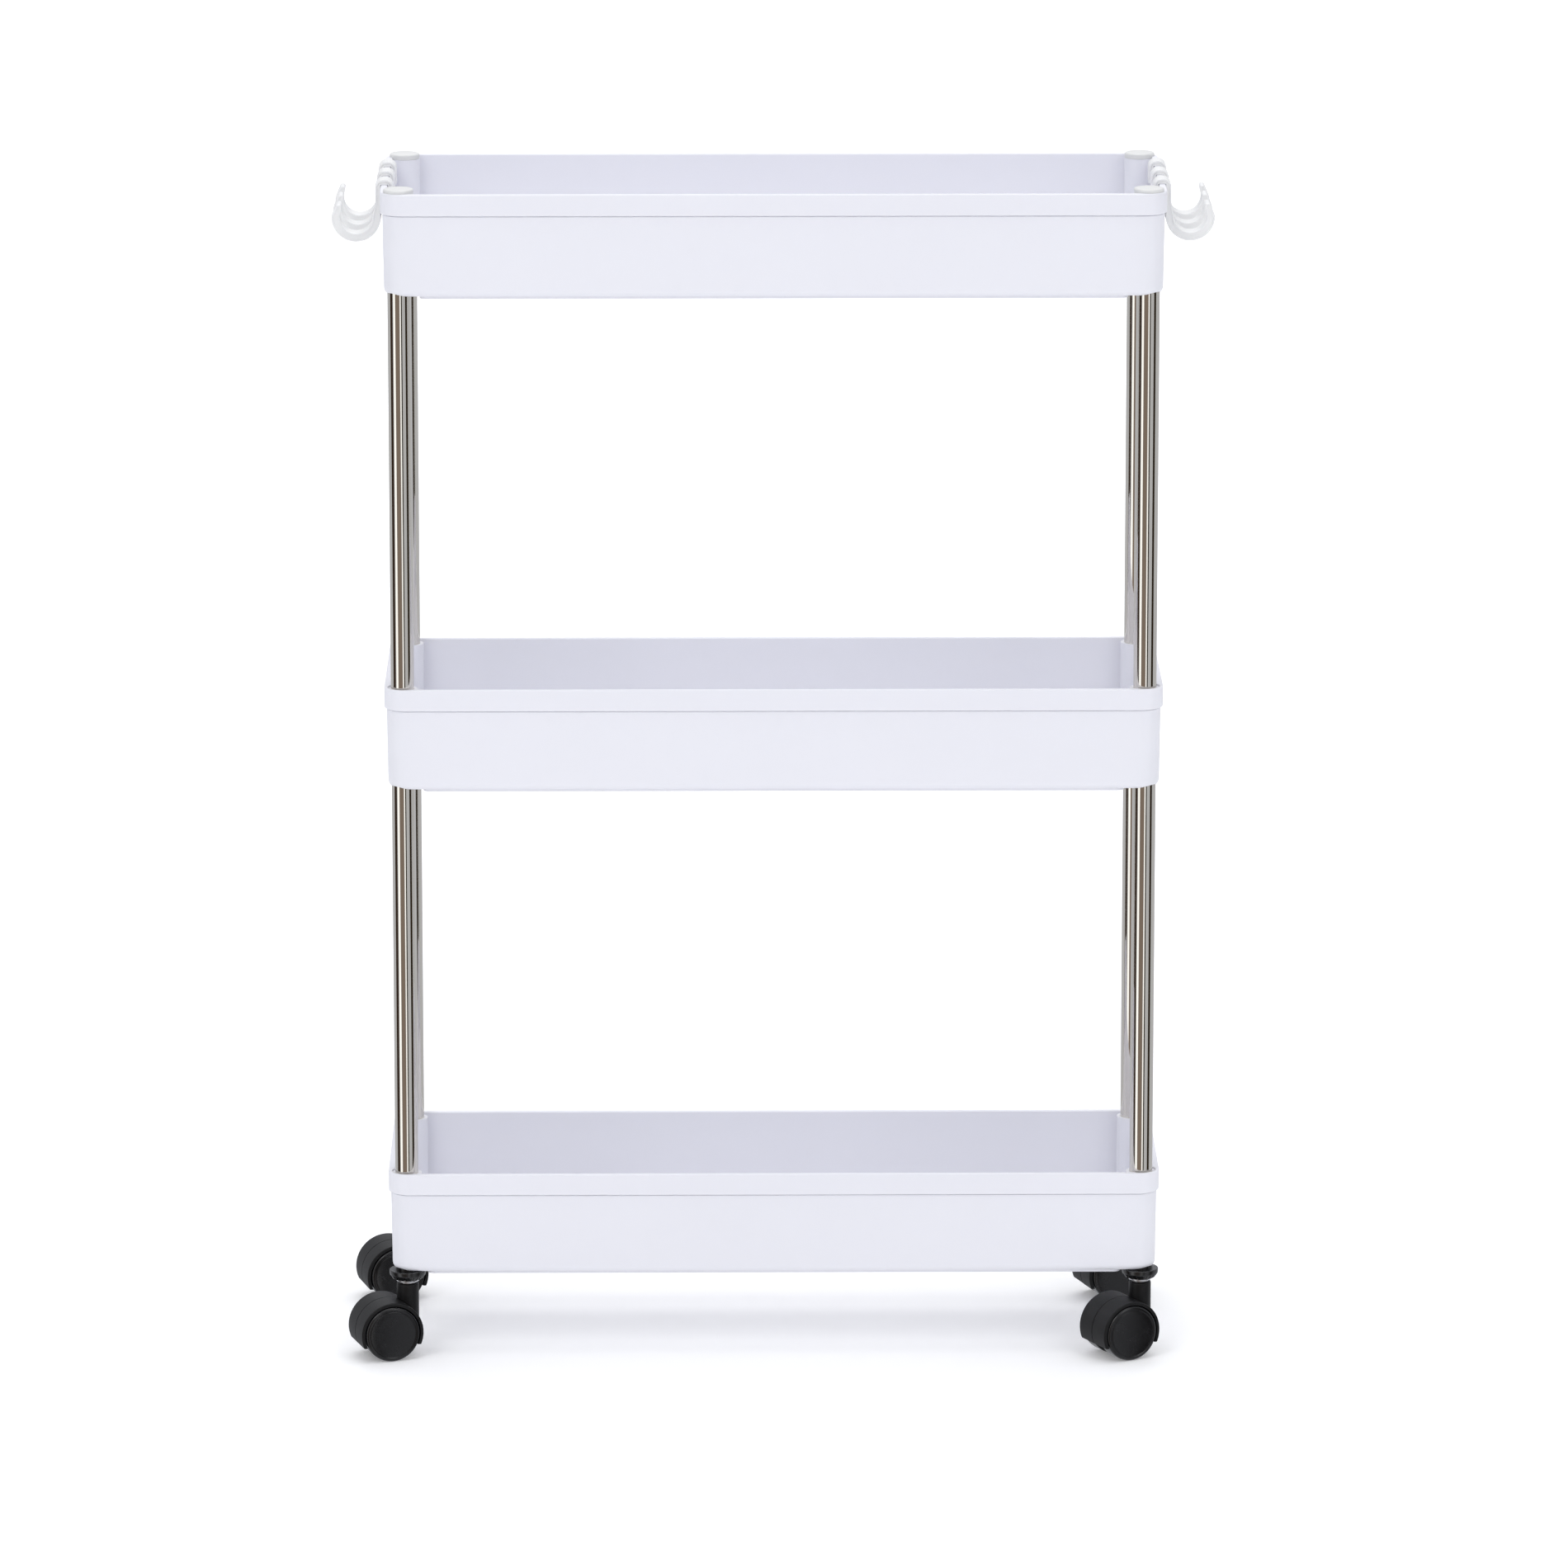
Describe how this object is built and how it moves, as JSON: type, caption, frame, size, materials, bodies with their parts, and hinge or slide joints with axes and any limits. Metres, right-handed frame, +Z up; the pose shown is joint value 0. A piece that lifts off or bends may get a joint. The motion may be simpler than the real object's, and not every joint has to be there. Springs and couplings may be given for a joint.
{
  "type": "rolling pantry cart",
  "caption": "Slim rolling pantry cart: shallow moulded trays on steel tube posts, hanging hooks on the end rims and swivelling twin-wheel casters.",
  "frame": {"origin": "on the floor, under the middle of the trays", "axes": "+Z up, +X along the long side to the viewer's right, the front faces -Y"},
  "size_m": [0.4508, 0.1498, 0.6151],
  "materials": {
    "tray_plastic": "satin injection-moulded polypropylene, cool white",
    "cap_plastic": "satin moulded polypropylene, white",
    "hook_plastic": "satin moulded polypropylene, white",
    "tube_steel": "polished stainless tube",
    "plated_steel": "bright plated",
    "axle_steel": "drawn wire",
    "spring_steel": "blued",
    "socket_nylon": "moulded nylon, black",
    "hood_nylon": "fine-textured moulded nylon, black",
    "wheel_nylon": "fine-textured moulded nylon, black"
  },
  "bodies": {
    "frame": {"tray_bottom": "tray_plastic", "tray_middle": "tray_plastic", "tray_top": "tray_plastic", "post_lower_front_left": "tube_steel", "post_upper_front_left": "tube_steel", "cap_front_left": "cap_plastic", "socket_front_left": "socket_nylon", "stem_front_left": "plated_steel", "grip_ring_front_left": "spring_steel", "post_lower_front_right": "tube_steel", "post_upper_front_right": "tube_steel", "cap_front_right": "cap_plastic", "socket_front_right": "socket_nylon", "stem_front_right": "plated_steel", "grip_ring_front_right": "spring_steel", "post_lower_rear_left": "tube_steel", "post_upper_rear_left": "tube_steel", "cap_rear_left": "cap_plastic", "socket_rear_left": "socket_nylon", "stem_rear_left": "plated_steel", "grip_ring_rear_left": "spring_steel", "post_lower_rear_right": "tube_steel", "post_upper_rear_right": "tube_steel", "cap_rear_right": "cap_plastic", "socket_rear_right": "socket_nylon", "stem_rear_right": "plated_steel", "grip_ring_rear_right": "spring_steel"},
    "swivel_front_left": {"hood_front_left": "hood_nylon", "axle_front_left": "axle_steel"},
    "wheel_outer_front_left_body": {"wheel_outer_front_left": "wheel_nylon"},
    "wheel_inner_front_left_body": {"wheel_inner_front_left": "wheel_nylon"},
    "swivel_front_right": {"hood_front_right": "hood_nylon", "axle_front_right": "axle_steel"},
    "wheel_outer_front_right_body": {"wheel_outer_front_right": "wheel_nylon"},
    "wheel_inner_front_right_body": {"wheel_inner_front_right": "wheel_nylon"},
    "swivel_rear_left": {"hood_rear_left": "hood_nylon", "axle_rear_left": "axle_steel"},
    "wheel_outer_rear_left_body": {"wheel_outer_rear_left": "wheel_nylon"},
    "wheel_inner_rear_left_body": {"wheel_inner_rear_left": "wheel_nylon"},
    "swivel_rear_right": {"hood_rear_right": "hood_nylon", "axle_rear_right": "axle_steel"},
    "wheel_outer_rear_right_body": {"wheel_outer_rear_right": "wheel_nylon"},
    "wheel_inner_rear_right_body": {"wheel_inner_rear_right": "wheel_nylon"},
    "hook_left_front_body": {"hook_left_front": "hook_plastic"},
    "hook_left_middle_body": {"hook_left_middle": "hook_plastic"},
    "hook_left_rear_body": {"hook_left_rear": "hook_plastic"},
    "hook_right_front_body": {"hook_right_front": "hook_plastic"},
    "hook_right_middle_body": {"hook_right_middle": "hook_plastic"},
    "hook_right_rear_body": {"hook_right_rear": "hook_plastic"}
  },
  "joints": [
    {"name": "swivel_front_left_turn", "type": "hinge", "parent": "frame", "child": "swivel_front_left", "pos_m": [-0.1905, -0.0555, 0.0365], "axis": [0, 0, 1], "continuous": true},
    {"name": "wheel_outer_front_left_spin", "type": "hinge", "parent": "swivel_front_left", "child": "wheel_outer_front_left_body", "pos_m": [-0.20191, -0.05921, 0.0146], "axis": [0.309, -0.9511, 0], "continuous": true},
    {"name": "wheel_inner_front_left_spin", "type": "hinge", "parent": "swivel_front_left", "child": "wheel_inner_front_left_body", "pos_m": [-0.20191, -0.05921, 0.0146], "axis": [0.309, -0.9511, 0], "continuous": true},
    {"name": "swivel_front_right_turn", "type": "hinge", "parent": "frame", "child": "swivel_front_right", "pos_m": [0.1905, -0.0555, 0.0365], "axis": [0, 0, 1], "continuous": true},
    {"name": "wheel_outer_front_right_spin", "type": "hinge", "parent": "swivel_front_right", "child": "wheel_outer_front_right_body", "pos_m": [0.1799, -0.06113, 0.0146], "axis": [0.4695, -0.8829, 0], "continuous": true},
    {"name": "wheel_inner_front_right_spin", "type": "hinge", "parent": "swivel_front_right", "child": "wheel_inner_front_right_body", "pos_m": [0.1799, -0.06113, 0.0146], "axis": [0.4695, -0.8829, 0], "continuous": true},
    {"name": "swivel_rear_left_turn", "type": "hinge", "parent": "frame", "child": "swivel_rear_left", "pos_m": [-0.1905, 0.0555, 0.0365], "axis": [0, 0, 1], "continuous": true},
    {"name": "wheel_outer_rear_left_spin", "type": "hinge", "parent": "swivel_rear_left", "child": "wheel_outer_rear_left_body", "pos_m": [-0.20204, 0.05219, 0.0146], "axis": [0.2756, -0.9613, 0], "continuous": true},
    {"name": "wheel_inner_rear_left_spin", "type": "hinge", "parent": "swivel_rear_left", "child": "wheel_inner_rear_left_body", "pos_m": [-0.20204, 0.05219, 0.0146], "axis": [0.2756, -0.9613, 0], "continuous": true},
    {"name": "swivel_rear_right_turn", "type": "hinge", "parent": "frame", "child": "swivel_rear_right", "pos_m": [0.1905, 0.0555, 0.0365], "axis": [0, 0, 1], "continuous": true},
    {"name": "wheel_outer_rear_right_spin", "type": "hinge", "parent": "swivel_rear_right", "child": "wheel_outer_rear_right_body", "pos_m": [0.17922, 0.0514, 0.0146], "axis": [0.342, -0.9397, 0], "continuous": true},
    {"name": "wheel_inner_rear_right_spin", "type": "hinge", "parent": "swivel_rear_right", "child": "wheel_inner_rear_right_body", "pos_m": [0.17922, 0.0514, 0.0146], "axis": [0.342, -0.9397, 0], "continuous": true},
    {"name": "hook_left_front_lift", "type": "slide", "parent": "frame", "child": "hook_left_front_body", "axis": [0, 0, 1], "range_m": [0, 0.03]},
    {"name": "hook_left_middle_lift", "type": "slide", "parent": "frame", "child": "hook_left_middle_body", "axis": [0, 0, 1], "range_m": [0, 0.03]},
    {"name": "hook_left_rear_lift", "type": "slide", "parent": "frame", "child": "hook_left_rear_body", "axis": [0, 0, 1], "range_m": [0, 0.03]},
    {"name": "hook_right_front_lift", "type": "slide", "parent": "frame", "child": "hook_right_front_body", "axis": [0, 0, 1], "range_m": [0, 0.03]},
    {"name": "hook_right_middle_lift", "type": "slide", "parent": "frame", "child": "hook_right_middle_body", "axis": [0, 0, 1], "range_m": [0, 0.03]},
    {"name": "hook_right_rear_lift", "type": "slide", "parent": "frame", "child": "hook_right_rear_body", "axis": [0, 0, 1], "range_m": [0, 0.03]}
  ]
}
